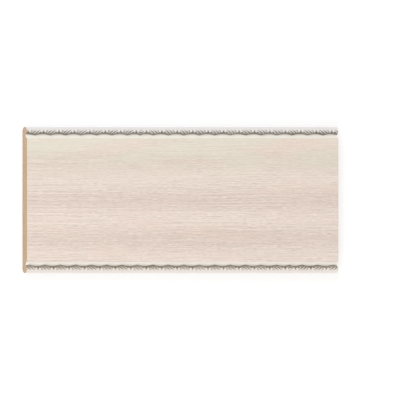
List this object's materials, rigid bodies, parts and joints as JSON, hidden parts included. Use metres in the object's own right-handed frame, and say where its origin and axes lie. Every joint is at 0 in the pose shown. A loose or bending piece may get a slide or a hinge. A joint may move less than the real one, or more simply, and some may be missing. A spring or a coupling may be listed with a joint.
{
  "type": "decorative panel",
  "caption": "Flat foam wall moulding with a wood-look field, a round ornamented bead along each long edge and a groove beside each bead.",
  "frame": {"origin": "middle of the flat back", "axes": "+X along the length of the moulding, +Y across its width, +Z from the back up to the decorated face"},
  "size_m": [0.25, 0.1, 0.006],
  "materials": {
    "panel_finish": "pale wood-look print on the face, antique silver on the beads, plain tan foam on the cut ends and back"
  },
  "bodies": {
    "root": {"panel": "panel_finish"}
  },
  "joints": []
}
